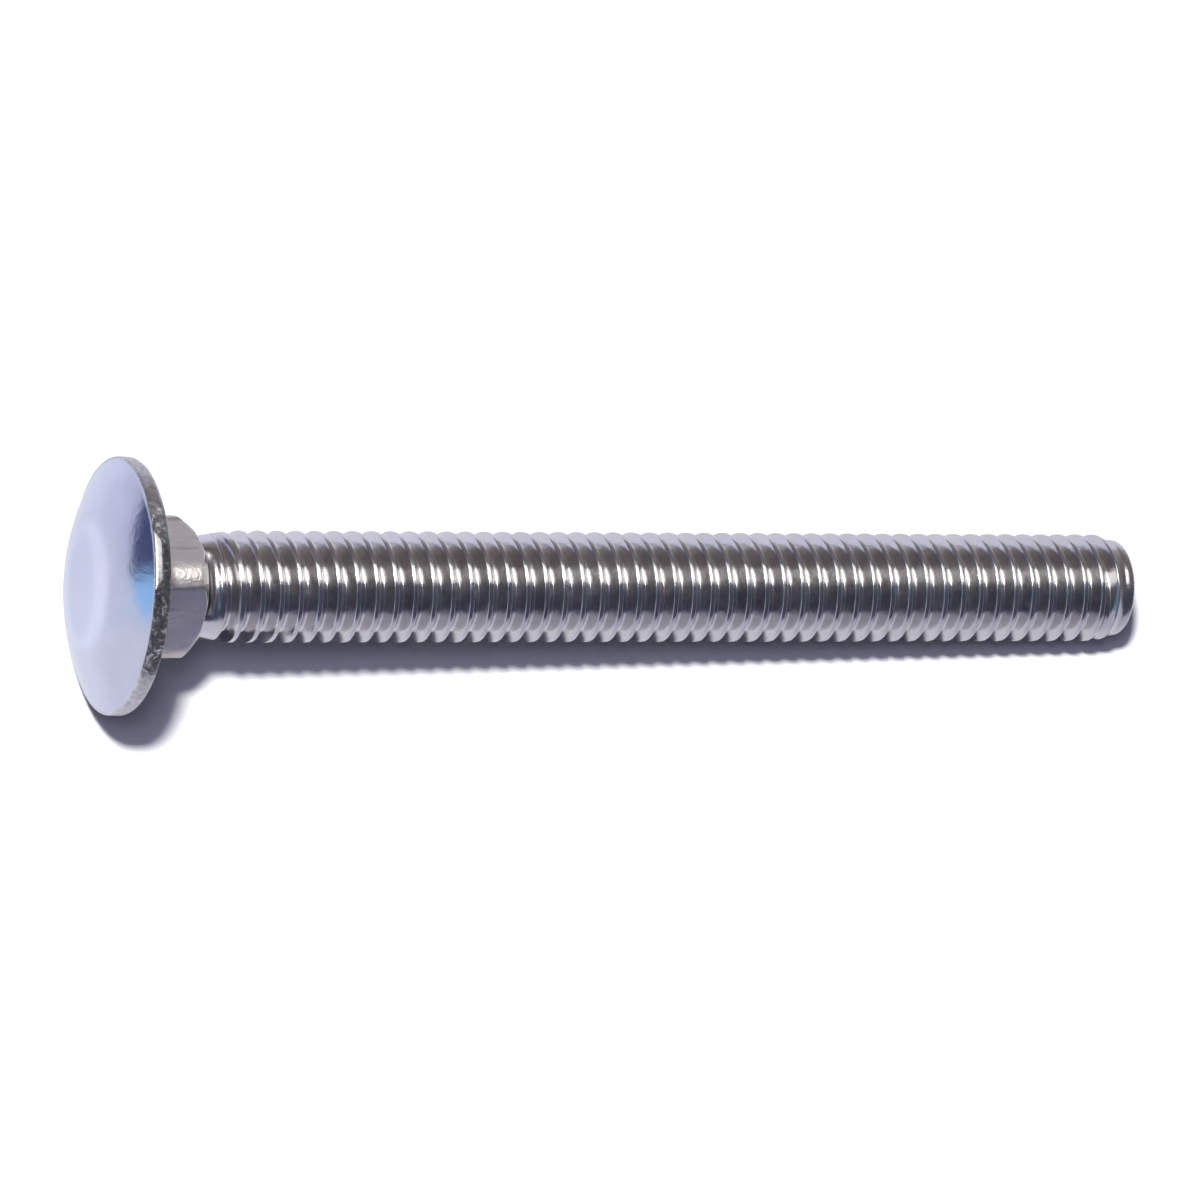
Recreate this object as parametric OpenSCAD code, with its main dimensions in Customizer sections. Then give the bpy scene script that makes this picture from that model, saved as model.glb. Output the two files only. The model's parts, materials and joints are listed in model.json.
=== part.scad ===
// Carriage bolt with a round head and a square neck, 5/16 inch, 18 threads to the inch, 3 inches long.
// The bolt is built along its own axis: the bearing face of the head is at 0, the tip at bolt_length
// and the dome below 0. It is then laid down on the rim of its head and the crests near its tip.

/* [Head] */
// Diameter of the head
head_d = 17.7; // [14:0.1:24]
// Height of the head over its bearing face
head_h = 3.05; // [2.6:0.05:5]
// Height of the rim at the edge of the head
rim_h = 1.2; // [0.8:0.05:1.6]
// Rounding of both edges of the rim
rim_round = 0.4; // [0.1:0.01:0.45]
// Diameter of the flattened spot on top of the dome
spot_d = 8.6; // [5:0.1:10]
// Depth of the shallow dish in that spot
dish_depth = 0.1; // [0.05:0.01:0.3]

/* [Square neck] */
// Size of the neck across its flats
neck_flats = 7.7; // [7.4:0.05:9]
// Rounding of the corners of the neck
neck_round = 1.2; // [0.3:0.05:2]
// Length of the neck under the head
neck_length = 4.75; // [4:0.05:8]
// Length of the bevel on the corners at the end of the neck
bevel_length = 0.8; // [0.3:0.05:1.1]
// Angle of that bevel to the axis
neck_bevel = 50; // [35:1:60]
// How far the neck is turned about the axis from the start of the thread
neck_turn = 27; // [-45:1:45]

/* [Shank and thread] */
// Length of the bolt under its head
bolt_length = 76.2; // [40:0.1:90]
// Diameter of the plain shank that the thread rises out of
shank_d = 6.9; // [6.6:0.01:7.2]
// Where the first crest starts, from the bearing face, which may be inside the neck
thread_start = 4.59; // [4.2:0.01:30]
// Diameter over the crests of the thread
thread_d = 7.75; // [7.5:0.01:8]
// Threads to the inch
threads_per_inch = 18; // [14:1:20]
// Depth of the thread from crest to root
thread_depth = 0.8; // [0.6:0.01:0.95]
// Width of the crest as a share of the pitch
crest_share = 0.2; // [0.12:0.01:0.3]
// Width of the root as a share of the pitch
root_share = 0.16; // [0.1:0.01:0.25]
// Turns over which the thread rises out of the shank
rise_turns = 0.8; // [0.8:0.1:3]
// Turns over which the groove fades out at the tip
fade_turns = 0.5; // [0.3:0.1:1]
// How far round the lying bolt is rolled, in whole steps of the thread
roll = -60; // [-345:15:0]

/* [Tip] */
// Diameter at the end of the bevel
tip_d = 6.95; // [6.2:0.05:7.2]
// Length of the bevel
tip_length = 1.2; // [0.8:0.1:3]
// Bevel of the edge round the end face
tip_edge = 0.2; // [0.1:0.05:0.4]

/* [Hidden] */
// Sides of a circle: in general, of the large circles of dome and dish, and of small roundings
$fn = 96;
large_fn = 360;
small_fn = 48;
pitch = 25.4 / threads_per_inch;
head_r = head_d / 2;
spot_r = spot_d / 2;
shank_r = shank_d / 2;
crest_r = thread_d / 2;
tip_r = tip_d / 2;
// Where the bevel at the tip ends
tip_end = bolt_length - tip_edge;

// The dome is the sphere through the edge of the head and the edge of the spot on top.
dome_z = (head_r^2 - spot_r^2 + rim_h^2 - head_h^2) / (2 * (rim_h - head_h));
dome_r = norm([head_r, rim_h - dome_z]);

// Thread profile over one pitch: place along the axis and height over the root, both as shares.
profile = [
    [-crest_share / 2, 1],
    [crest_share / 2, 1],
    [0.5 - root_share / 2, 0],
    [0.5 + root_share / 2, 0]
];
rows = len(profile);
// Steps in one turn, and in the whole skin up to its last turn
turn = 24;
steps = floor(((tip_end - tip_edge - thread_start) / pitch + crest_share / 2) * turn - 1 / 2);

// Turns gone through at step k. The first turn, before the first crest, is still plain shank. The
// half step lays a facet of the shank on the floor, not an edge.
function turns(k) = (k + 1 / 2) / turn - 1;
function around(k, r, z) = [r * cos(360 * turns(k)), r * sin(360 * turns(k)), z];
function bevel_r(z) = tip_r + (crest_r - tip_r) * (tip_end - z) / tip_length;
function thread_z(k, j) = thread_start + pitch * (turns(k) + profile[j][0]);
function thread_r(k, j) =
    let(
        fade = max(0, min(1, (steps - k) / (turn * fade_turns))),
        rise = max(0, min(1, (k - turn) / (turn * rise_turns))),
        full = crest_r - thread_depth * fade * (1 - profile[j][1])
    )
    min(shank_r + rise * (full - shank_r), bevel_r(thread_z(k, j)));
// At rest the bolt lies on the rounded edge of its rim and on the first facet of a crest that the
// dipping axis brings down to the floor. The facet lies between step k and the one before it.
function dip_on(k, j) =
    let(
        facet_r = thread_r(k, j) * cos(180 / turn),
        reach = [thread_z(k, j) + rim_round, head_r - rim_round - facet_r]
    )
    atan2(reach[1], reach[0]) + asin(rim_round / norm(reach));
low_step = turn - roll * turn / 360;
dip = min([for (k = [low_step:turn:steps + turn], side = [0, 1], j = [0, 1]) dip_on(k - side, j)]);
// Number of the point at step k of row j. The row after the last is the first row, one turn on.
function id(k, j) =
    j == rows ? id(k + turn, 0) :
    k <= steps ? k * rows + j :
    (steps + 1) * (rows - 1) + k;

// Triangles between points a and b and the points c and d next to them
function quad(a, b, c, d) = [[a, b, d], [a, d, c]];
// Triangles from one point to a path of others
function fan(from, path) = [for (i = [1:len(path) - 1]) [from, path[i], path[i - 1]]];

// The shank is one skin. It winds along the helix of the thread and ends in flat rings.
module threaded_shank() {
    wound = [for (k = [0:steps], j = [0:rows - 1]) around(k, thread_r(k, j), thread_z(k, j))];
    last_row = [for (k = [steps + 1:steps + turn]) around(k, thread_r(k, 0), thread_z(k, 0))];
    neck_z = min(neck_length, thread_start - pitch) - pitch;
    neck_ring = [for (k = [0:turn - 1]) around(k, shank_r, neck_z)];
    bevel_ring = [for (k = [0:turn - 1]) around(steps + k, tip_r, tip_end)];
    end_ring = [for (k = [0:turn - 1]) around(steps + k, tip_r - tip_edge, bolt_length)];
    first = len(wound) + len(last_row);
    function neck(k) = first + k % turn;
    function bevel(k) = first + turn + k % turn;
    function end(k) = first + 2 * turn + k % turn;

    winding = [for (k = [0:steps - 1], j = [0:rows - 1])
        each quad(id(k, j), id(k, j + 1), id(k + 1, j), id(k + 1, j + 1))];
    // Plain shank up to the first turn, then the last facet of it, which holds the turn's start
    start = [for (k = [0:turn - 2])
        each quad(neck(k), id(k, 0), neck(k + 1), id(k + 1, 0))];
    start_facet = fan(
        id(turn - 1, 0),
        [neck(turn - 1), neck(0), for (j = [0:rows]) id(0, j)]
    );
    // Bevel after the last turn, then the first facet of it, which holds the turn's end
    finish = [for (k = [1:turn - 1])
        each quad(id(steps + k, 0), bevel(k), id(steps + k + 1, 0), bevel(k + 1))];
    finish_facet = fan(
        id(steps + 1, 0),
        [bevel(1), bevel(0), for (j = [rows:-1:0]) id(steps, j)]
    );
    edge = [for (k = [0:turn - 1]) each quad(bevel(k), end(k), bevel(k + 1), end(k + 1))];
    caps = [[for (k = [0:turn - 1]) neck(k)], [for (k = [turn - 1:-1:0]) end(k)]];

    color("silver")
        polyhedron(
            concat(wound, last_row, neck_ring, bevel_ring, end_ring),
            concat(winding, start, start_facet, finish, finish_facet, edge, caps)
        );
}

// Half section of the head, its bearing face at 0: a rim with rounded edges under the dome
module head_section() {
    round_r = head_r - rim_round;
    // The upper rounding is tangent to the rim and to the dome.
    upper_z = dome_z + sqrt((dome_r - rim_round)^2 - round_r^2);
    tangent = [round_r, upper_z - dome_z] * dome_r / (dome_r - rim_round) + [0, dome_z];
    intersection() {
        translate([0, dome_z])
            circle(r = dome_r, $fn = large_fn);
        union() {
            polygon([
                [0, 0], [round_r, 0], [round_r, rim_round], [head_r, rim_round],
                [head_r, upper_z], [round_r, upper_z], tangent, [tangent[0], head_h], [0, head_h + spot_r]
            ]);
            for (z = [rim_round, upper_z])
                translate([round_r, z])
                    circle(r = rim_round, $fn = small_fn);
        }
    }
}

module head() {
    dish_r = (spot_r^2 + dish_depth^2) / (2 * dish_depth);
    color("lightsteelblue")
        mirror([0, 0, 1])
            difference() {
                rotate_extrude()
                    head_section();
                translate([0, 0, head_h - dish_depth + dish_r])
                    sphere(r = dish_r, $fn = large_fn);
            }
}

// Section of the neck: a square with round corners
module neck_section() {
    corner = neck_flats / 2 - neck_round;
    square([neck_flats, 2 * corner], center = true);
    square([2 * corner, neck_flats], center = true);
    for (x = [-corner, corner], y = [-corner, corner])
        translate([x, y])
            circle(r = neck_round, $fn = small_fn);
}

// The neck ends in a flat shoulder, and a cone bevels its corners there.
module square_neck() {
    root = rim_h / 2;
    corner_r = sqrt(2) * (neck_flats / 2 - neck_round) + neck_round;
    color("darkgray")
        intersection() {
            rotate([0, 0, neck_turn])
                translate([0, 0, -root])
                    linear_extrude(root + neck_length)
                        neck_section();
            translate([0, 0, -root])
                cylinder(
                    r1 = corner_r + (root + neck_length - bevel_length) * tan(neck_bevel),
                    r2 = corner_r - bevel_length * tan(neck_bevel),
                    h = root + neck_length
                );
        }
}

// The bolt at rest: its axis dips from the rim of the head to the tip.
module bolt() {
    rotate([0, 90 + dip, 0])
        rotate([0, 0, roll])
            union() {
                head();
                square_neck();
                threaded_shank();
            }
}

bolt();
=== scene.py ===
"""Looks of a stainless carriage bolt: domed head, square neck, rolled coarse thread.

Every piece is a surface worked out with numpy in the bolt's own coordinates, in millimetres: z runs
along the axis from the bearing face of the head (0) to the tip, and the dome is below 0. The points
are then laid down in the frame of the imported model, in metres.
"""

import json
import math

import bpy
import numpy as np
from bpy.props import FloatProperty, FloatVectorProperty, IntProperty, PointerProperty
from mathutils import Matrix, Vector


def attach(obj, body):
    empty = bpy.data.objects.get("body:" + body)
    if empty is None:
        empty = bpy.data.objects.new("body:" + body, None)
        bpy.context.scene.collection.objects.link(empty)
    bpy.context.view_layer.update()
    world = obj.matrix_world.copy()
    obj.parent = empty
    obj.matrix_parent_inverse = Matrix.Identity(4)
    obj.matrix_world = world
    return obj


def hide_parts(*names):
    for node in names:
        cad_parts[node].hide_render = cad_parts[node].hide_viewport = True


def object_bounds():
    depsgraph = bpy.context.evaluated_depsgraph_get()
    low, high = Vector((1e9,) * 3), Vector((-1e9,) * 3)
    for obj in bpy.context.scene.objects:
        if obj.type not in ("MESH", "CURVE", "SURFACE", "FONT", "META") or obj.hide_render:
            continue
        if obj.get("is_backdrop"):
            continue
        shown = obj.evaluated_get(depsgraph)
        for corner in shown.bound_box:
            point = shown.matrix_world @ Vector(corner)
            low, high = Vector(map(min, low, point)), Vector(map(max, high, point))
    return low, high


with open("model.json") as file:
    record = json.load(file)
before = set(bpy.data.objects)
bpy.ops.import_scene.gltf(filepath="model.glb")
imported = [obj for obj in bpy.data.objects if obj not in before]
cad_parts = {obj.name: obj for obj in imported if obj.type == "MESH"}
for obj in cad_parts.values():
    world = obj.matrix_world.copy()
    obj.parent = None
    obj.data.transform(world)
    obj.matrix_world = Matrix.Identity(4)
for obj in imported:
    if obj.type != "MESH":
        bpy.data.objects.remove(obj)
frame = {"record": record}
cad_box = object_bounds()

bl_info = {
    "name": "Carriage bolt",
    "version": (1, 0, 0),
    "blender": (4, 5, 0),
    "location": "View3D > Sidebar > Bolt",
    "description": "Builds a stainless carriage bolt and the stage it lies on",
    "category": "Object",
}

MM = 0.001
MOUNTS = {m["name"]: m for m in frame["record"]["mounts"]}
SHANK = MOUNTS["shank"]["dims"]
THREAD = MOUNTS["thread"]["dims"]
NECK = MOUNTS["square_neck"]["dims"]
AXIS = np.array(MOUNTS["shank"]["axis"], float)
ROOM_R = 1.6
MIDDLE = Vector((0.035, 0, 0))

# Angles round the axis: the head's side towards the camera and the middle of the hammered strip
# on its rim, both in degrees, and the shank's side with the undercut, before the bolt is rolled
VIEWER_DEG = 201.6
HAMMER_DEG = 203
UNDERCUT = math.radians(258)

# Undercut and dip in the shank beside the neck: depth, distance of the middle from the neck and
# half width in mm, and the power of the bell curve
DIPS = ((0.36, 0.32, 0.4, 4), (0.13, 0.9, 0.12, 2))
# How far the land at the tip swells in its middle, in mm
LAND_SWELL = 0.03

# Where the camera stands, and the right and up of its picture, as fitted to the photo
CAMERA_AT = (-0.1359363, -0.1653129, 0.4249926)
CAMERA_RIGHT = (0.9364746, -0.1495675, 0.3172457)
CAMERA_UP = (0.0241069, 0.9298252, 0.3672111)


# ---------------------------------------------------------------- sizes and finishes

def length(name, description, default_mm):
    """A length property whose default is given in millimetres."""
    return FloatProperty(name=name, description=description, default=default_mm * MM,
                         min=0.0, precision=5, subtype="DISTANCE", unit="LENGTH")


def angle(name, description, default_deg):
    """An angle property whose default is given in degrees."""
    return FloatProperty(name=name, description=description, default=math.radians(default_deg),
                         subtype="ANGLE", unit="ROTATION")


def share(name, description, default):
    """A property between 0 and 1."""
    return FloatProperty(name=name, description=description, default=default,
                         min=0.0, max=1.0, subtype="FACTOR")


def amount(name, description, default):
    """A plain number, 0 or more."""
    return FloatProperty(name=name, description=description, default=default, min=0.0)


def step_count(name, description, default, least):
    """A whole number of steps."""
    return IntProperty(name=name, description=description, default=default, min=least)


def table_place(name, description, default):
    """A place over the table, along x and y."""
    return FloatVectorProperty(name=name, description=description, default=default,
                               size=2, subtype="XYZ", unit="LENGTH")


def colour(name, description, default):
    """A linear colour property."""
    return FloatVectorProperty(name=name, description=description, default=default,
                               size=3, min=0.0, max=1.0, subtype="COLOR")


class BoltHeadSizes(bpy.types.PropertyGroup):
    """Sizes of the head."""
    diameter: length("Diameter", "Diameter of the head", 17.7)
    height: length("Height", "Height of the head over its bearing face", 3.05)
    rim_height: length("Rim height", "Height of the rim at the edge of the head", 1.1)
    rim_round: length("Rim rounding", "Rounding of the lower edge of the rim", 0.4)
    edge_round: length("Edge rounding", "Rounding of the edge between dome and rim", 0.22)
    spot_diameter: length("Spot", "Diameter of the flattened spot on the dome", 8.6)
    dish_depth: length("Dish depth", "Depth of the shallow dish in the spot", 0.1)
    lean: angle("Lean", "How far the head is out of square with the shank", 1.9)
    lean_to: angle("Lean to", "Side of the head that leans towards the tip", 111.6)
    around: step_count("Steps around", "Steps round the head", 288, 48)


class BoltNeckSizes(bpy.types.PropertyGroup):
    """Sizes of the square neck."""
    flats: length("Across flats", "Size of the neck across its flats", 7.7)
    corner: length("Corner rounding", "Rounding of the corners", 1.2)
    edge: length("Edge rounding", "Softness of the edge between flats and bevel", 0.05)
    length: length("Length", "Length of the neck under the head", NECK["length_mm"] - 0.3)
    bevel_length: length("Bevel length", "Length of the bevel on the corners", 0.8)
    bevel: angle("Bevel", "Angle of that bevel to the axis", 50)
    turn: angle("Turn", "Turn of the neck about the axis from the start of the thread", 27)
    around: step_count("Steps around", "Steps round the neck", 256, 64)


class BoltShankSizes(bpy.types.PropertyGroup):
    """Sizes of the shank, its rolled thread and the tip."""
    length: length("Length", "Length of the bolt under its head", SHANK["length_mm"])
    shank_diameter: length("Shank diameter", "Diameter before the thread", 6.9)
    thread_diameter: length("Thread diameter", "Diameter over the crests", 2 * THREAD["r_mm"])
    thread_start: length("Thread start", "Where the thread starts, from the bearing face", 4.59)
    pitch: length("Pitch", "Pitch of the thread", 25.4 / 18)
    depth: length("Thread depth", "Depth of the thread from crest to root", 0.8)
    crest_share: share("Crest", "Width of the crest as a share of the pitch", 0.2)
    root_share: share("Root", "Width of the root as a share of the pitch", 0.16)
    crest_round: length("Crest rounding", "Rounding of both edges of the crest", 0.09)
    root_round: length("Root rounding", "Radius of the rounded root", 0.193)
    crest_rise: amount("Crest rise", "Turns over which the crest rises", 2.2)
    root_from: amount("Groove from", "Turn at which the groove starts", 0.36)
    root_fall: amount("Groove fall", "Turns over which the groove deepens", 0.3)
    fade: amount("Fade", "Turns over which the groove fades", 0.5)
    tip_diameter: length("Tip diameter", "Diameter of the tip", 6.95)
    tip_length: length("Tip length", "Length of the bevel", 0.7)
    tip_land: length("Tip land", "Length of the band between bevel and end", 0.85)
    tip_edge: length("Tip edge", "Rounding of the edge of the end face", 0.3)
    roll: angle("Roll", "How far round the lying bolt is rolled", -60)
    around: step_count("Steps a turn", "Steps in one turn of the thread", 64, 24)


class BoltFinish(bpy.types.PropertyGroup):
    """Colours and roughness of the stainless steel."""
    # Dome, spot and ring are bluish: a blue cast of the light, painted into the steel's colour. The
    # spot is darker, painted shade, and the ring brighter, painted reflection
    dome: colour("Dome", "Colour of the steel of the head", (0.605, 0.625, 0.73))
    spot: colour("Spot", "Colour of the dull middle of the flattened spot", (0.55, 0.585, 0.70))
    ring: colour("Ring", "Colour of the brighter steel round it", (0.66, 0.68, 0.80))
    rim: colour("Rim", "Colour of the rim", (0.60, 0.59, 0.59))
    neck: colour("Neck", "Colour of the steel of the neck", (0.74, 0.695, 0.655))
    thread: colour("Thread", "Colour of the rolled thread", (0.66, 0.64, 0.64))
    dome_roughness: share("Dome roughness", "Roughness of the satin dome", 0.17)
    rim_roughness: share("Rim roughness", "Roughness of the rim where it is smooth", 0.36)
    neck_roughness: share("Neck roughness", "Roughness of the neck", 0.24)
    thread_roughness: share("Thread roughness", "Roughness of the rolled thread", 0.17)


class BoltStage(bpy.types.PropertyGroup):
    """Floor, light and camera."""
    floor: colour("Floor", "Colour of the floor as the steel shows it", (0.84, 0.84, 0.88))
    # Painted light as the steel sees the floor: bluer behind the bolt, and darker in front of the
    # shank, a painted shadow
    floor_back: colour("Floor, back", "The same behind the bolt", (0.82, 0.84, 0.96))
    floor_front: colour("Floor, front", "The same in front of the shank", (0.57, 0.57, 0.67))
    floor_seen: amount("Floor seen", "Brightness of the floor for the camera", 1.16)
    paper_end: length("Paper end", "Where the pale paper ends beyond the head", 60)
    paper_near: length("Paper near", "Where the pale paper ends in front", 70)
    room_low: colour("Room, low", "Room just above the table at the back", (0.40, 0.37, 0.38))
    room_back: colour("Room, back", "Room higher up at the back", (0.19, 0.165, 0.17))
    room_front: colour("Room, front", "Room in front of the table", (0.065, 0.07, 0.11))
    room_left: colour("Room, left", "Dark table and room beyond the head", (0.085, 0.10, 0.20))
    room_blue: colour("Blue patch", "Blue patch beyond the head", (0.40, 0.70, 1.0))
    card_from: table_place("Card from", "Low corner of the bright card", (-0.42, -0.15))
    card_to: table_place("Card to", "High corner of the bright card", (0.58, 0.36))
    card_height: length("Card height", "Height of the bright card over the table", 800)
    card_level: amount("Card level", "Brightness of the card, 1 being white", 2.0)
    ambient: colour("Ambient", "Colour of the soft light from all round", (0.43, 0.43, 1.0))
    ambient_level: share("Ambient level", "Level of the soft light from all round", 0.055)
    key: amount("Key", "Light of the key lamp on the floor, 1 being white", 0.93)
    fill: amount("Fill", "The same of the wider fill lamp", 0.09)
    lens: amount("Lens", "Focal length in millimetres", 208.723)


# ---------------------------------------------------------------- shapes

def lay_down(points, roll=0.0):
    """Bolt coordinates in mm to the frame in metres.

    The points turn about the bolt's axis by roll, and then x goes to the direction that is straight
    down when the axis is level, y to +Y and z to the axis.
    """
    down = np.array([AXIS[2], 0.0, -AXIS[0]])
    c, s = math.cos(roll), math.sin(roll)
    x = points[..., 0] * c - points[..., 1] * s
    y = points[..., 0] * s + points[..., 1] * c
    laid = x[..., None] * down + points[..., 2:] * AXIS
    laid[..., 1] += y
    return laid * MM


def rings_to_points(r, turn, z):
    """Points at radius r, angle turn (radians) and place z, all arrays that broadcast together."""
    r, turn, z = np.broadcast_arrays(r, turn, z)
    return np.stack([r * np.cos(turn), r * np.sin(turn), z], axis=-1)


def grid_faces(rows, columns):
    """Quads of a grid of rows x columns points that closes on itself along the columns."""
    i, j = np.meshgrid(np.arange(rows - 1), np.arange(columns), indexing="ij")
    k = (j + 1) % columns
    a, b = i * columns + j, i * columns + k
    return np.stack([a, b, b + columns, a + columns], axis=-1).reshape(-1, 4)


def closed_rings(points, first, last):
    """Rings of points closed by fans about two poles on the axis, at the places first and last."""
    rows, columns = points.shape[:2]
    ring, count = np.arange(columns), rows * columns
    flat_points = np.concatenate([points.reshape(-1, 3), [[0, 0, first], [0, 0, last]]])
    faces = [grid_faces(rows, columns), fan_faces(ring[::-1], count),
             fan_faces(ring + (rows - 1) * columns, count + 1)]
    return flat_points, faces


def fan_faces(ring, centre):
    """Triangles from each side of a ring of point numbers to a centre point."""
    return np.stack([ring, np.roll(ring, -1), np.full(len(ring), centre)], axis=-1)


def smooth_step(value, low, high):
    """0 below low, 1 above high and an S curve between."""
    t = np.clip((value - low) / (high - low), 0, 1)
    return t * t * (3 - 2 * t)


def fade_out(value, low, high):
    """1 below low, 0 above high and an S curve between."""
    return smooth_step(-value, -high, -low)


def bell(value, middle, width, power):
    """exp(-((value - middle) / width)^power): 1 at the middle, and flatter on top by the power."""
    return np.exp(-((value - middle) / width) ** power)


def soft_min(a, b, soft):
    """The lower of a and b, rounded: -soft * log(exp(-a / soft) + exp(-b / soft))."""
    return -soft * np.logaddexp(-a / soft, -b / soft)


def arc(centre, radius, start, end, steps):
    """Points of an arc about centre from angle start to end, in radians, both ends included."""
    a = np.linspace(start, end, steps)
    return np.stack([centre[0] + radius * np.cos(a), centre[1] + radius * np.sin(a)], axis=-1)


def make_piece(name, points, faces, material, masks):
    """A mesh object from points and lists of face arrays, riding on the one body of the bolt.

    The masks, one value a point, are kept as attributes that the material reads.
    """
    mesh = bpy.data.meshes.new(name)
    mesh.from_pydata(points.tolist(), [], [f for block in faces for f in block.tolist()])
    for key, values in masks.items():
        layer = mesh.attributes.new(key, "FLOAT", "POINT")
        layer.data.foreach_set("value", values.astype(np.float32))
    mesh.materials.append(material)
    mesh.shade_smooth()
    mesh.validate()
    mesh.update()
    piece = bpy.data.objects.new(name, mesh)
    bpy.context.scene.collection.objects.link(piece)
    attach(piece, "root")
    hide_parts("bolt")
    return piece


def head_profile(s):
    """Half section of the head as (radius, height over the bearing face), from the axis on top out
    over the dish, the dome and the rim, and back under the bearing face to the axis.

    Dish: height = head height - depth * (1 - (r / spot radius)^2). Dome: the sphere through the
    edge of the rim and the edge of the spot. Their soft minimum joins dish and dome in a soft ring,
    where the points lie closer. The rim's edges are arcs.
    """
    head_r, spot_r = s.diameter / 2 / MM, s.spot_diameter / 2 / MM
    head_h, rim_h, dish = s.height / MM, s.rim_height / MM, s.dish_depth / MM
    rim_r, edge_r = s.rim_round / MM, s.edge_round / MM
    dome_z = (head_r**2 - spot_r**2 + rim_h**2 - head_h**2) / (2 * (rim_h - head_h))
    dome_r = math.hypot(head_r, rim_h - dome_z)

    def sphere(r):
        return dome_z + np.sqrt(dome_r**2 - r**2)

    out = head_r - edge_r
    near_edge, soft = 0.9, 0.12
    r = np.concatenate([
        np.linspace(0.0, spot_r - near_edge, 22)[1:],
        np.linspace(spot_r - near_edge, spot_r + near_edge, 25)[1:],
        np.linspace(spot_r + near_edge, out, 26)[1:]])
    top = soft_min(head_h - dish * (1 - (r / spot_r) ** 2), sphere(r), soft)
    centre_h = head_h - dish
    slope = (top[-1] - top[-2]) / (r[-1] - r[-2])
    lean = math.atan(-slope)
    upper = arc((out, top[-1] - edge_r * math.cos(lean)), edge_r, math.pi / 2 - lean, 0.0, 9)
    upper[:, 0] += head_r - upper[-1, 0]
    r = np.minimum(r, upper[0, 0])
    side = np.stack([np.full(12, head_r), np.linspace(upper[-1, 1], rim_r, 14)[1:-1]], axis=-1)
    lower = arc((head_r - rim_r, rim_r), rim_r, 0.0, -math.pi / 2, 9)
    under = np.stack([np.linspace(head_r - rim_r, 1.0, 12)[1:], np.zeros(11)], axis=-1)
    dome = np.stack([r, top], axis=-1)
    return np.concatenate([dome, upper[1:], side, lower, under]), centre_h


def leaned(points, tilt, side):
    """Points turned by the angle tilt about the middle of the bearing face, towards the tip at the
    side given as an angle round the axis.

    With out being the distance to that side: out' = out cos - z sin, z' = z cos + out sin.
    """
    way = np.array([math.cos(side), math.sin(side)])
    out, z = points[:, :2] @ way, points[:, 2]
    shift = out * (math.cos(tilt) - 1) - z * math.sin(tilt)
    moved = points + shift[:, None] * np.append(way, 0.0)
    moved[:, 2] = z * math.cos(tilt) + out * math.sin(tilt)
    return moved


def head_surface(s):
    """The head: its half section carried round the axis, closed at both poles by fans."""
    profile, centre_h = head_profile(s)
    turn = np.arange(s.around) * 2 * math.pi / s.around
    points = rings_to_points(profile[:, :1], turn[None, :], -profile[:, 1:])
    return closed_rings(points, -centre_h, 0)


def head_masks(points, s):
    """Masks of the head's finish, 0 to 1, at each point.

    rim: the side of the head. hammer: a strip of it, up to 44 degrees either side of its middle and
    a quarter weaker below 172 degrees. Between 182 and 198 degrees only about the lower 0.74 mm of
    the rim is hammered. ring: the flattened top, painted brighter, a painted reflection. spot: its
    darker middle, painted shade, an ellipse whose centre lies 1 mm off the axis, away from the
    camera.
    """
    z, r = points[:, 2], np.hypot(points[:, 0], points[:, 1])
    head_r, spot_r = s.diameter / 2 / MM, s.spot_diameter / 2 / MM
    turn = np.degrees(np.arctan2(points[:, 1], points[:, 0])) % 360
    rim = smooth_step(r, head_r - 0.25, head_r - 0.12) * (z < -0.01)
    hammered_h = 1.3 - 0.56 * smooth_step(turn, 175, 182) * fade_out(turn, 198, 205)
    strip = fade_out(np.abs(turn - HAMMER_DEG), 37, 44)
    hammer = rim * strip * (0.75 + 0.25 * smooth_step(turn, 172, 188))
    hammer *= smooth_step(z + hammered_h, -0.1, 0.08)
    top = z < -1.5
    ring = top * fade_out(r, spot_r - 0.5, spot_r + 0.7)
    side = np.radians(VIEWER_DEG)
    along = points[:, 0] * np.cos(side) + points[:, 1] * np.sin(side) + 1.0
    across = points[:, 1] * np.cos(side) - points[:, 0] * np.sin(side)
    spot = top * fade_out(np.hypot(along / 2.7, across / 3.9), 0.75, 1.15)
    return {"rim": rim, "hammer": hammer, "spot": spot, "ring": ring}


def corner_radius(turn, half, corner):
    """Distance from the axis to a square with round corners, by angle.

    Up to the corner the side is at half / cos(angle from the side's middle). On the corner it is
    the far root of the circle of radius corner about (half - corner, half - corner).
    """
    a = np.abs((turn + math.pi / 4) % (math.pi / 2) - math.pi / 4)
    inner = half - corner
    straight = half / np.cos(a)
    under = corner**2 - inner**2 * (1 - np.sin(2 * a))
    bent = inner * (np.cos(a) + np.sin(a)) + np.sqrt(np.maximum(under, 0))
    return np.where(np.tan(a) * half <= inner, straight, bent)


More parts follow.
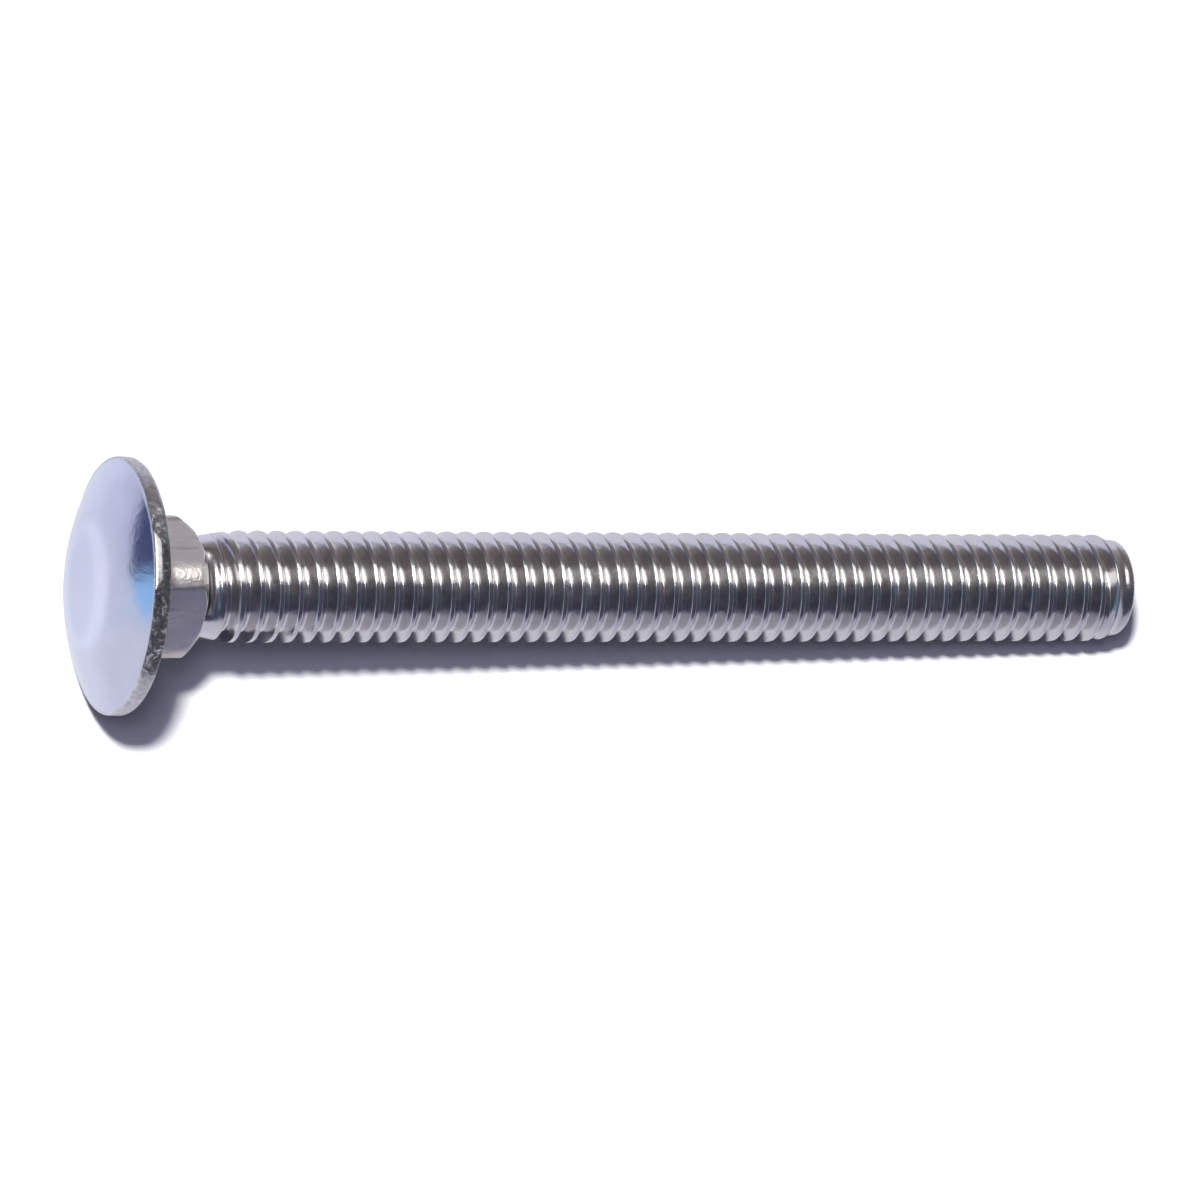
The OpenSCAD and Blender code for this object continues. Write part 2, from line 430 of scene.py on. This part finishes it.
def neck_surface(s):
    """The square neck: the square with round corners, bevelled by a cone, with a flat shoulder.

    Radius = soft minimum of the square's radius at that angle and of the cone's at that place, and
    then over a small lip and in along the shoulder to the radius inside. The rows follow the edge
    between square and cone, so it stays clean. They start within the head.
    """
    half, corner, soft = s.flats / 2 / MM, s.corner / MM, s.edge / MM
    end, slope = s.length / MM, math.tan(s.bevel)
    corner_r = math.sqrt(2) * (half - corner) + corner
    turn = np.arange(s.around) * 2 * math.pi / s.around
    square = corner_radius(turn, half, corner)[None, :]
    bevel_z = end - s.bevel_length / MM
    edge_z = np.minimum(bevel_z + (corner_r - square) / slope, end - 0.12)
    before = np.array([0.0, 0.3, 0.6, 0.8, 0.9, 0.95, 0.975, 0.99])[:, None]
    after = np.array([0.0, 0.04, 0.1, 0.25, 0.5, 0.8, 1.0])[:, None]
    start, lip, inside = -0.6, 0.05, 3.2
    z = np.concatenate([start + (edge_z - start) * before, edge_z + (end - lip - edge_z) * after])
    r = soft_min(square, corner_r + (bevel_z - z) * slope, soft)
    in_half, up_half = 0.29 * lip, 0.71 * lip
    r = np.concatenate([r, r[-1:] - in_half, r[-1:] - lip, np.full_like(r[:1], inside)])
    z = np.concatenate([z, z[-1:] + up_half, z[-1:] + lip, z[-1:] + lip])
    return closed_rings(rings_to_points(r, turn[None, :] + s.turn, z), start, end)


def neck_masks(points, s):
    """Masks of the neck's finish, 0 to 1, at each point.

    corner: the round corners, up to 13 degrees either side of their middle. crease_shade: a thin
    line of painted shade at 11.3 degrees from the middle, which bends back and is darker towards
    both ends of the neck.
    """
    turn = np.degrees(np.arctan2(points[:, 1], points[:, 0]) - s.turn) % 90
    end = np.minimum(((points[:, 2] - 2.3) / 2.2) ** 2, 1.0)
    crease_shade = bell(turn - 45 - 11.3 + 1.8 * end, 0.0, 1.9, 2) * (0.5 + 0.5 * end)
    return {"corner": fade_out(np.abs(turn - 45), 9, 13), "crease_shade": crease_shade}


def thread_profile(s):
    """Thread profile over one pitch, from the middle of one crest, as (place, depth under crest) in
    mm: half the crest, its rounded edge, the flank, the arc of the root, and the way back up.
    """
    pitch, depth = s.pitch / MM, s.depth / MM
    crest, root = s.crest_share * pitch / 2, s.root_share * pitch / 2
    run = pitch / 2 - crest - root
    lean = math.atan2(depth, run)
    crest_r, root_r = s.crest_round / MM, s.root_round / MM
    back = crest_r * math.tan(lean / 2)
    crown = arc((crest - back, crest_r), crest_r, -math.pi / 2, lean - math.pi / 2, 5)
    root_arc = arc((pitch / 2, depth - root_r), root_r, math.pi / 2 + lean, math.pi / 2, 5)
    way = np.array([0.06, 0.33, 0.66, 0.94])[:, None]
    flank = crown[-1] * (1 - way) + root_arc[0] * way
    half = np.concatenate([[[0.0, 0.0]], crown, flank, root_arc])
    mirrored = half[-2:0:-1] * [-1, 1] + [pitch, 0]
    return np.concatenate([half, mirrored])


def shank_surface(s, neck_length):
    """The shank as one skin that winds along the helix of the thread.

    Point (k, j): turns = (k + 1/2) / steps of a turn - 1, place = start + pitch * turns + place of
    the profile point j. Radius = full radius less the profile's depth, cut off at the height that
    the metal has filled, which rises evenly out of the shank over the first turns. The groove
    starts within part of a turn and fades out over the last part of one. On one side an undercut
    and a shallow dip lie beside the neck. The bevel of the tip cuts it all. The last profile point
    of a turn is the first of the next, so the skin closes. After the bevel come the land, which
    swells a little, its rounded edge and the end face, which is hollow by 0.07 mm.
    """
    pitch, start = s.pitch / MM, s.thread_start / MM
    shank_r, crest_r = s.shank_diameter / 2 / MM, s.thread_diameter / 2 / MM
    tip_r = s.tip_diameter / 2 / MM
    tip_edge, total = s.tip_edge / MM, s.length / MM
    tip_length, land = s.tip_length / MM, s.tip_land / MM
    profile = thread_profile(s)
    n, rows = s.around, len(profile)
    steps = int((total - land - 0.02 - start) / pitch * n)
    k = np.arange(steps + n + 1)[:, None]
    turns = (k + 0.5) / n - 1
    place = start + pitch * turns + profile[None, :, 0]
    bevel = tip_r + (crest_r - tip_r) * np.maximum(0, total - land - place) / tip_length
    fade = np.clip((steps - k) / (n * s.fade), 0, 1)
    depth = s.depth / MM
    wound_turns = turns + profile[None, :, 0] / pitch
    filled = shank_r + np.clip(wound_turns / s.crest_rise, 0, 1) * (crest_r + 0.06 - shank_r)
    lift = depth * (1 - smooth_step(turns, s.root_from, s.root_from + s.root_fall))
    soft = 0.03
    radius = soft_min(filled, crest_r + lift - fade * profile[None, :, 1], soft)
    near = smooth_step(np.cos(2 * math.pi * turns - UNDERCUT), 0.72, 0.9)
    dips = sum(deep * bell(place - neck_length, *shape) for deep, *shape in DIPS)
    radius = soft_min(radius - near * dips, bevel, soft)
    wound = rings_to_points(radius, 2 * math.pi * turns, place)
    body = wound[:steps + 1].reshape(-1, 3)
    last = wound[steps + 1:, 0]

    def number(k, j):
        over = np.equal(j, rows)
        k = np.where(over, k + n, k)
        in_last = (steps + 1) * rows + k - steps - 1
        return np.where(k <= steps, k * rows + np.where(over, 0, j), in_last)

    kk, jj = np.meshgrid(np.arange(steps), np.arange(rows), indexing="ij")
    winding = np.stack([number(kk, jj), number(kk + 1, jj), number(kk + 1, jj + 1),
                        number(kk, jj + 1)], axis=-1).reshape(-1, 4)

    ring = np.arange(n)
    first_ring = 2 * math.pi * (ring + 0.5) / n
    last_ring = first_ring + 2 * math.pi * steps / n
    neck_z = min(neck_length, start - pitch) - pitch
    neck_ring = rings_to_points(shank_r, first_ring, neck_z)
    lip = arc((tip_r - tip_edge, total - tip_edge), tip_edge, 0.0, math.pi / 2, 9)
    along = np.linspace(0, 1, 7)[:-1]
    level = np.stack([tip_r + 4 * LAND_SWELL * along * (1 - along),
                      total - land + (land - tip_edge) * along], axis=-1)
    end_profile = np.concatenate([level, lip, [[2.6, total - 0.02], [1.2, total - 0.06]]])
    end_rings = rings_to_points(end_profile[:, :1], last_ring[None, :], end_profile[:, 1:])
    base = len(body) + len(last)
    tail = base + n
    points = np.concatenate([body, last, neck_ring, end_rings.reshape(-1, 3),
                             [[0, 0, neck_z], [0, 0, total - 0.07]]])
    poles = tail + len(end_profile) * n
    across, after = np.arange(rows + 1), (ring + 1) % n
    inner = number(ring, 0)
    first_turn = np.stack([base + ring, base + after, np.roll(inner, -1), inner], axis=-1)
    turn_start = np.concatenate([[base + n - 1, base], number(0, across)])
    outer = number(steps + np.arange(n + 1), 0)
    finish = np.stack([outer[:-1], outer[1:], tail + after, tail + ring], axis=-1)
    turn_end = np.concatenate([[tail + 1, tail], number(steps, across)[::-1]])
    faces = [winding, first_turn[:-1], fan_path(inner[-1], turn_start), finish[1:],
             fan_path(outer[1], turn_end), grid_faces(len(end_profile), n) + tail,
             fan_faces((base + ring)[::-1], poles), fan_faces(poles - n + ring, poles + 1)]
    return points, faces


def shank_masks(points, neck_length):
    """undercut_shade: painted shade, the dark patch in the undercut beside the neck, 0 to 1 at each
    point.
    """
    turn = np.arctan2(points[:, 1], points[:, 0])
    near = smooth_step(np.cos(turn - UNDERCUT), 0.66, 0.9)
    return {"undercut_shade": near * bell(points[:, 2] - neck_length, 0.3, 0.36, 6)}


def fan_path(centre, path):
    """Triangles from one point to a path of other points."""
    path = np.asarray(path)
    path = path[path != centre]
    return np.stack([np.full(len(path) - 1, centre), path[:-1], path[1:]], axis=-1)


# ---------------------------------------------------------------- finishes

class Nodes:
    """A few short calls to build a material's node tree."""

    def __init__(self, name):
        self.material = bpy.data.materials.new(name)
        self.material.use_nodes = True
        self.tree = self.material.node_tree
        self.shader = self.tree.nodes["Principled BSDF"]
        self.place = self.add("ShaderNodeTexCoord").outputs["Object"]

    def add(self, kind, **settings):
        node = self.tree.nodes.new(kind)
        for key, value in settings.items():
            setattr(node, key, value)
        return node

    def link(self, value, socket):
        if isinstance(value, bpy.types.NodeSocket):
            self.tree.links.new(value, socket)
        else:
            socket.default_value = value

    def noise(self, scale, detail=2.0, roughness=0.5, distortion=0.0, place=None):
        node = self.add("ShaderNodeTexNoise")
        self.link(place or self.place, node.inputs["Vector"])
        for key, value in (("Scale", scale), ("Detail", detail), ("Roughness", roughness),
                           ("Distortion", distortion)):
            node.inputs[key].default_value = value
        return node.outputs["Fac"]

    def stretched(self, scale):
        node = self.add("ShaderNodeMapping")
        self.link(self.place, node.inputs["Vector"])
        node.inputs["Scale"].default_value = scale
        return node.outputs["Vector"]

    def range(self, value, low, high, to_low, to_high):
        node = self.add("ShaderNodeMapRange")
        for socket, v in zip(node.inputs, (value, low, high, to_low, to_high)):
            self.link(v, socket)
        return node.outputs["Result"]

    def math(self, operation, a, b=0.0):
        node = self.add("ShaderNodeMath", operation=operation)
        self.link(a, node.inputs[0])
        self.link(b, node.inputs[1])
        return node.outputs[0]

    def mix(self, factor, a, b):
        node = self.add("ShaderNodeMix", data_type="RGBA")
        self.link(factor, node.inputs["Factor"])
        self.link(a, node.inputs["A"])
        self.link(b, node.inputs["B"])
        return node.outputs["Result"]

    def mask(self, name):
        return self.add("ShaderNodeAttribute", attribute_name=name).outputs["Fac"]

    def bump(self, height, strength, distance_mm, normal=None):
        node = self.add("ShaderNodeBump")
        self.link(height, node.inputs["Height"])
        self.link(strength, node.inputs["Strength"])
        node.inputs["Distance"].default_value = distance_mm * MM
        if normal is not None:
            self.link(normal, node.inputs["Normal"])
        return node.outputs["Normal"]

    def finish(self, colour, roughness, normal=None):
        self.shader.inputs["Metallic"].default_value = 1.0
        self.link(colour, self.shader.inputs["Base Color"])
        self.link(roughness, self.shader.inputs["Roughness"])
        if normal is not None:
            self.link(normal, self.shader.inputs["Normal"])
        return self.material


def rgba(colour, level=1.0):
    """A colour property at a level, with alpha."""
    return tuple(min(1.0, c * level) for c in colour) + (1.0,)


def head_steel(f):
    """Satin stainless steel of the head.

    The middle of the spot is painted darker, painted shade, and the ring round it painted brighter,
    a painted reflection. The rim is mottled. Where the mask hammer is above 0, it is hammered, and
    its dents are painted dark, painted shade.
    """
    n = Nodes("satin_head_steel")
    cloud = n.noise(170, 4, 0.6)
    grain = n.noise(5200, 3, 0.6)
    hammer, rim, spot, ring = (n.mask(k) for k in ("hammer", "rim", "spot", "ring"))
    plain = n.mix(n.range(cloud, 0.3, 0.7, 0, 1), rgba(f.dome, 0.87), rgba(f.dome, 1.04))
    patchy = n.range(n.noise(420, 3, 0.6), 0.3, 0.7, 0.75, 1.0)
    # Painted reflection: the ring is brighter. Painted shade: the middle of the spot is darker
    brighter = n.mix(n.math("MULTIPLY", ring, patchy), plain, rgba(f.ring))
    painted_spot_shade = n.mix(n.math("MULTIPLY", spot, patchy), brighter, rgba(f.spot))
    dent = n.noise(1500, 4, 0.62, distortion=1.2)
    # Painted shade: the dents of the hammered strip are painted dark
    dent_shade = n.math("MULTIPLY", hammer, n.range(dent, 0.53, 0.6, 0.97, 0.0))
    mottle = n.noise(2600, 4, 0.65)
    edge = n.mix(n.range(mottle, 0.35, 0.65, 0, 1), rgba(f.rim, 0.7), rgba(f.rim, 1.08))
    colour = n.mix(dent_shade, n.mix(rim, painted_spot_shade, edge), rgba(f.rim, 0.2))
    satin = n.math("SUBTRACT", rim, n.math("MULTIPLY", hammer, 1.3))
    worn = n.range(cloud, 0.3, 0.7, f.dome_roughness - 0.03, f.dome_roughness + 0.03)
    rough = n.math("ADD", worn, n.math("MULTIPLY", satin, f.rim_roughness - f.dome_roughness))
    wavy = n.bump(n.noise(620, 3, 0.55, distortion=0.6), 0.8, 0.03)
    fine = n.bump(grain, 0.06, 0.01, wavy)
    dents = n.bump(dent, hammer, 0.5, fine)
    pits = n.bump(grain, n.math("MULTIPLY", hammer, 0.8), 0.08, dents)
    pits = n.bump(mottle, n.math("MULTIPLY", rim, 0.5), 0.06, pits)
    return n.finish(colour, rough, pits)


def neck_steel(f):
    """Steel of the neck: drawn flats with fine scratches and rough, mottled round corners, each
    with a thin dark line of painted shade along one side.
    """
    n = Nodes("drawn_neck_steel")
    cloud = n.noise(420, 4, 0.6)
    scratch = n.noise(1700, 3, 0.6, place=n.stretched((0.12, 1.0, 1.0)))
    corner = n.mask("corner")
    mottle = n.noise(2900, 4, 0.65)
    flat = n.mix(n.range(cloud, 0.3, 0.7, 0, 1), rgba(f.neck, 0.92), rgba(f.neck, 1.05))
    patches = n.math("MULTIPLY", corner, n.range(mottle, 0.35, 0.65, 0, 1))
    mottled = n.mix(patches, flat, rgba(f.neck, 1.05))
    line = n.range(n.noise(1100, 3, 0.6, place=n.stretched((0.25, 1.0, 1.0))), 0.6, 0.66, 0, 0.5)
    scored = n.mix(line, mottled, rgba(f.neck, 0.5))
    broken = n.range(n.noise(900, 2, 0.5), 0.35, 0.5, 0.5, 1.0)
    # Painted shade: a thin dark line along one side of each round corner
    crease_shade = n.math("MULTIPLY", n.mask("crease_shade"), broken)
    colour = n.mix(crease_shade, scored, rgba(f.neck, 0.16))
    drawn = n.range(scratch, 0.3, 0.7, f.neck_roughness - 0.04, f.neck_roughness + 0.06)
    rough = n.math("ADD", drawn, n.math("MULTIPLY", corner, 0.3))
    lines = n.bump(scratch, 0.12, 0.02)
    pitted = n.bump(mottle, n.math("MULTIPLY", corner, 0.8), 0.15, lines)
    return n.finish(colour, rough, pitted)


def thread_steel(f):
    """Shiny steel of the rolled thread, with faint nicks and worn patches, and near black and
    rougher where the mask undercut_shade is above 0: the near black is painted shade.
    """
    n = Nodes("rolled_thread_steel")
    cloud = n.noise(260, 4, 0.6)
    stain = n.range(n.noise(1500, 4, 0.7), 0.55, 0.75, 0, 0.6)
    plain = n.mix(n.range(cloud, 0.3, 0.7, 0, 1), rgba(f.thread, 0.92), rgba(f.thread, 1.03))
    stained = n.mix(stain, plain, rgba(f.thread, 0.75))
    # Painted shade: near black in the undercut beside the neck
    undercut_shade = n.mask("undercut_shade")
    colour = n.mix(undercut_shade, stained, rgba(f.thread, 0.08))
    worn = n.range(n.noise(900, 3, 0.6), 0.3, 0.7,
                   f.thread_roughness - 0.04, f.thread_roughness + 0.08)
    rough = n.math("ADD", worn, n.math("MULTIPLY", undercut_shade, 0.35))
    ripple = n.bump(n.noise(1300, 3, 0.6), 0.3, 0.03)
    nicks = n.bump(n.noise(3600, 3, 0.7), 0.22, 0.04, ripple)
    return n.finish(colour, rough, nicks)


# ---------------------------------------------------------------- operators

class BOLT_OT_head(bpy.types.Operator):
    """Build the domed head with its dished spot and hammered rim"""
    bl_idname = "bolt.head"
    bl_label = "Head"

    def execute(self, context):
        scene = context.scene
        s = scene.bolt_head
        points, faces = head_surface(s)
        make_piece("bolt_head", lay_down(leaned(points, s.lean, s.lean_to)), faces,
                   head_steel(scene.bolt_finish), head_masks(points, s))
        return {"FINISHED"}


class BOLT_OT_neck(bpy.types.Operator):
    """Build the square neck with its round corners and bevel"""
    bl_idname = "bolt.neck"
    bl_label = "Square neck"

    def execute(self, context):
        scene = context.scene
        s = scene.bolt_neck
        points, faces = neck_surface(s)
        make_piece("bolt_neck", lay_down(points, scene.bolt_shank.roll), faces,
                   neck_steel(scene.bolt_finish), neck_masks(points, s))
        return {"FINISHED"}


class BOLT_OT_shank(bpy.types.Operator):
    """Build the threaded shank and its bevelled tip"""
    bl_idname = "bolt.shank"
    bl_label = "Threaded shank"

    def execute(self, context):
        scene = context.scene
        neck_length = scene.bolt_neck.length / MM
        points, faces = shank_surface(scene.bolt_shank, neck_length)
        make_piece("bolt_thread", lay_down(points, scene.bolt_shank.roll), faces,
                   thread_steel(scene.bolt_finish), shank_masks(points, neck_length))
        return {"FINISHED"}


def stage_mesh(name, points, faces, material):
    """A mesh that belongs to the stage."""
    mesh = bpy.data.meshes.new(name)
    mesh.from_pydata(points.tolist(), [], faces.tolist())
    mesh.materials.append(material)
    piece = bpy.data.objects.new(name, mesh)
    bpy.context.scene.collection.objects.link(piece)
    piece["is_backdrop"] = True
    return piece


def beyond_head(n, s, x, y):
    """What lies beyond the head, by y over distance: pale in front, a blue patch, then dark.

    Returns how far it shows, from the pale part on, and its colour.
    """
    aside = n.math("DIVIDE", y, n.math("MULTIPLY", x, -1.0))
    dark = n.mix(n.range(aside, 0.11, 0.25, 0, 1), rgba(s.room_blue), rgba(s.room_left))
    return n.range(aside, -0.25, -0.05, 0, 1), dark


def paper_floor(s, ground):
    """A round pale floor at the lowest point of the bolt. The camera sees it a little brighter.

    The steel sees painted light on it: bluer behind the bolt, and darker in front, a painted
    shadow. It shows that the paper ends a little beyond the head, and the paper is painted darker
    on the way to that end, a painted shade. The soft edge of that end is 12 mm wide. Seen in the
    steel after a bounce off the floor, the floor is painted darker, painted shade that deepens the
    bolt's shadow.
    """
    edge, sides, floor_r = 0.006, 64, 3.0
    n = Nodes("paper_floor")
    n.tree.nodes.remove(n.shader)
    split = n.add("ShaderNodeSeparateXYZ")
    n.link(n.place, split.inputs[0])
    x, y = split.outputs["X"], split.outputs["Y"]
    path = n.add("ShaderNodeLightPath")
    paper = n.range(n.noise(60, 3, 0.5), 0.3, 0.7, 0, 1)
    seen = n.mix(paper, (s.floor_seen,) * 3 + (1.0,), (s.floor_seen * 1.01,) * 3 + (1.0,))
    back = n.mix(n.range(y, 0.006, 0.02, 0, 1), rgba(s.floor), rgba(s.floor_back))
    # Painted shadow: the floor in front of the shank is darker
    ahead = n.math("MULTIPLY", n.range(y, -0.002, -0.012, 0, 1), n.range(x, -0.004, 0.012, 0, 1))
    near = n.mix(ahead, back, rgba(s.floor_front))
    off_paper = n.range(y, 0.03 - s.paper_near, -0.03 - s.paper_near, 0, 1)
    plain = n.mix(off_paper, near, rgba(s.room_front, 3.0))
    blue, colour = beyond_head(n, s, x, y)
    # Painted shade: the paper darkens on the way to its end beyond the head
    shaded = n.range(x, -0.01, edge - s.paper_end, 0, 0.26)
    ended = n.range(x, edge - s.paper_end, -s.paper_end - edge, 0, 0.74)
    past = n.math("MULTIPLY", n.math("ADD", shaded, ended), blue)
    shown = n.mix(past, plain, colour)
    # Painted shade: seen after a bounce off the floor, the floor is darker, which deepens the
    # bolt's shadow
    shown = n.mix(path.outputs["Diffuse Depth"], shown, rgba(s.floor, 0.45))
    lit = n.mix(path.outputs["Is Glossy Ray"], rgba(s.floor), shown)
    paint = n.add("ShaderNodeBsdfDiffuse")
    n.link(n.mix(path.outputs["Is Camera Ray"], lit, seen), paint.inputs["Color"])
    n.link(paint.outputs[0], n.tree.nodes["Material Output"].inputs["Surface"])
    turn = np.arange(sides) * 2 * math.pi / sides
    disc = np.concatenate([rings_to_points(floor_r, turn, ground), [[0, 0, ground]]])
    stage_mesh("floor", disc, fan_faces(np.arange(sides), sides), n.material)


def glow(n, colour, level):
    """Ends a node tree in an even glow."""
    n.tree.nodes.remove(n.shader)
    light = n.add("ShaderNodeEmission")
    n.link(colour, light.inputs["Color"])
    light.inputs["Strength"].default_value = level
    n.link(light.outputs[0], n.tree.nodes["Material Output"].inputs["Surface"])
    return n.material


def only_reflected(piece):
    """The piece is there for reflections alone and casts neither light nor shadow."""
    for ray in ("camera", "diffuse", "shadow", "transmission", "volume_scatter"):
        setattr(piece, "visible_" + ray, False)


def dim_room(s, ground):
    """The dim room round the table as the steel sees it, a half sphere.

    The room's colour goes by height over the table: warm and fairly light behind the table and dark
    with a blue tone in front, with a blue patch low down beyond the head.
    """
    n = Nodes("dim_room")
    split = n.add("ShaderNodeSeparateXYZ")
    n.link(n.place, split.inputs[0])
    x, y, z = (split.outputs[k] for k in "XYZ")
    rise = n.range(z, 0.0, ROOM_R, 0.0, 1.0)
    back = n.mix(n.range(rise, 0.05, 0.42, 0, 1), rgba(s.room_low), rgba(s.room_back))
    front = n.mix(n.range(y, -0.5 * ROOM_R, 0.3 * ROOM_R, 0, 1), rgba(s.room_front), back)
    side = n.mix(n.range(y, -0.05 * ROOM_R, -0.3 * ROOM_R, 0, 1),
                 rgba(s.room_left), rgba(s.room_blue, 0.35))
    left = n.mix(n.range(x, -0.35 * ROOM_R, -0.7 * ROOM_R, 0, 1), front, side)
    blue, beyond = beyond_head(n, s, x, y)
    far = n.math("MULTIPLY", blue, n.range(x, -0.6 * ROOM_R, -0.8 * ROOM_R, 0, 1))
    patch = n.math("MULTIPLY", far, n.range(rise, 0.14, 0.3, 1, 0))
    colour = n.mix(patch, left, beyond)
    sides = 96
    turn = np.arange(sides)[None, :] * 2 * math.pi / sides
    up = np.radians([0.02, 3, 6, 10, 14, 18, 23, 28, 34, 40, 47, 54, 61, 68, 75, 82, 88])[:, None]
    shell = rings_to_points(ROOM_R * np.cos(up), turn, ground + ROOM_R * np.sin(up))
    faces = grid_faces(len(up), sides)[:, ::-1]
    points = np.concatenate([shell.reshape(-1, 3), [[0, 0, ground + ROOM_R]]])
    only_reflected(stage_mesh("room", points, faces, glow(n, colour, 1.0)))


def bright_card(s):
    """The bright card over the table as the steel sees it."""
    (x0, y0), (x1, y1), z = s.card_from, s.card_to, s.card_height
    corners = np.array([[x0, y0, z], [x0, y1, z], [x1, y1, z], [x1, y0, z]])
    white = glow(Nodes("bright_card"), (1.0, 1.0, 1.0, 1.0), s.card_level)
    only_reflected(stage_mesh("card", corners, np.array([[0, 1, 2, 3]]), white))


def disc_lamp(name, direction, size, level, colour=(1.0, 1.0, 1.0)):
    """A round lamp of some colour over the bolt, which casts a shadow away from its direction.

    Its power gives a white floor under it the brightness level: power = level * (pi * distance)^2 /
    cosine to the floor.
    """
    away = Vector(direction).normalized()
    lamp = bpy.data.lights.new(name, "AREA")
    lamp.shape, lamp.size = "DISK", size
    lamp.color = colour
    reach = 0.9
    lamp.energy = level * math.pi**2 * reach**2 / away.z
    holder = bpy.data.objects.new(name, lamp)
    holder.matrix_world = Matrix.Translation(away * reach + MIDDLE) @ \
        away.to_track_quat("Z", "Y").to_matrix().to_4x4()
    holder.visible_camera = False
    bpy.context.scene.collection.objects.link(holder)


def soft_world(s):
    """Soft light from all round, which camera and reflections see as white."""
    world = bpy.data.worlds.new("soft_world")
    world.use_nodes = True
    tree = world.node_tree
    back = tree.nodes["Background"]
    path = tree.nodes.new("ShaderNodeLightPath")
    seen = tree.nodes.new("ShaderNodeMath")
    seen.operation = "MAXIMUM"
    tree.links.new(path.outputs["Is Camera Ray"], seen.inputs[0])
    tree.links.new(path.outputs["Is Glossy Ray"], seen.inputs[1])
    tint = tree.nodes.new("ShaderNodeMix")
    tint.data_type = "RGBA"
    tree.links.new(seen.outputs[0], tint.inputs["Factor"])
    tint.inputs["A"].default_value = rgba(s.ambient, s.ambient_level)
    tint.inputs["B"].default_value = (1.0, 1.0, 1.0, 1.0)
    tree.links.new(tint.outputs["Result"], back.inputs["Color"])
    bpy.context.scene.world = world


def place_camera(s):
    """The camera looks down on the bolt at about 61 degrees, with the bolt level in its picture."""
    camera = bpy.data.cameras.new("camera")
    camera.lens, camera.sensor_width, camera.clip_start = s.lens, 36.0, 0.01
    holder = bpy.data.objects.new("camera", camera)
    right, up = Vector(CAMERA_RIGHT), Vector(CAMERA_UP)
    turn = Matrix((right, up, right.cross(up))).transposed().to_4x4()
    holder.matrix_world = Matrix.Translation(CAMERA_AT) @ turn
    bpy.context.scene.collection.objects.link(holder)
    bpy.context.scene.camera = holder


class BOLT_OT_stage(bpy.types.Operator):
    """Set up the floor, the soft light and the camera"""
    bl_idname = "bolt.stage"
    bl_label = "Stage"

    def execute(self, context):
        s = context.scene.bolt_stage
        ground = min(cad_box[0][2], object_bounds()[0][2])
        paper_floor(s, ground)
        dim_room(s, ground)
        bright_card(s)
        soft_world(s)
        disc_lamp("key", (-0.398, -0.026, 1.0), 0.095, s.key)
        disc_lamp("fill", (-0.398, -0.24, 1.0), 0.2, s.fill, (0.7, 0.72, 1.0))
        place_camera(s)
        context.scene.view_settings.view_transform = "Standard"
        return {"FINISHED"}


class BOLT_PT_panel(bpy.types.Panel):
    """Buttons and sizes of the carriage bolt"""
    bl_idname = "BOLT_PT_panel"
    bl_label = "Carriage bolt"
    bl_space_type = "VIEW_3D"
    bl_region_type = "UI"
    bl_category = "Bolt"

    def draw(self, context):
        for operator, group in (("bolt.head", "bolt_head"), ("bolt.neck", "bolt_neck"),
                                ("bolt.shank", "bolt_shank"), ("bolt.stage", "bolt_stage")):
            box = self.layout.box()
            box.operator(operator)
            settings = getattr(context.scene, group)
            for key in settings.__annotations__:
                box.prop(settings, key)
        box = self.layout.box()
        for key in context.scene.bolt_finish.__annotations__:
            box.prop(context.scene.bolt_finish, key)


GROUPS = {"bolt_head": BoltHeadSizes, "bolt_neck": BoltNeckSizes, "bolt_shank": BoltShankSizes,
          "bolt_finish": BoltFinish, "bolt_stage": BoltStage}
OPERATORS = (BOLT_OT_head, BOLT_OT_neck, BOLT_OT_shank, BOLT_OT_stage)


def register():
    for key, group in GROUPS.items():
        bpy.utils.register_class(group)
        setattr(bpy.types.Scene, key, PointerProperty(type=group))
    for item in (*OPERATORS, BOLT_PT_panel):
        bpy.utils.register_class(item)


def unregister():
    for item in (BOLT_PT_panel, *reversed(OPERATORS)):
        bpy.utils.unregister_class(item)
    for key, group in GROUPS.items():
        delattr(bpy.types.Scene, key)
        bpy.utils.unregister_class(group)


def main():
    """Register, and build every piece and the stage."""
    register()
    bpy.ops.bolt.head()
    bpy.ops.bolt.neck()
    bpy.ops.bolt.shank()
    bpy.ops.bolt.stage()


if __name__ == "__main__":
    main()
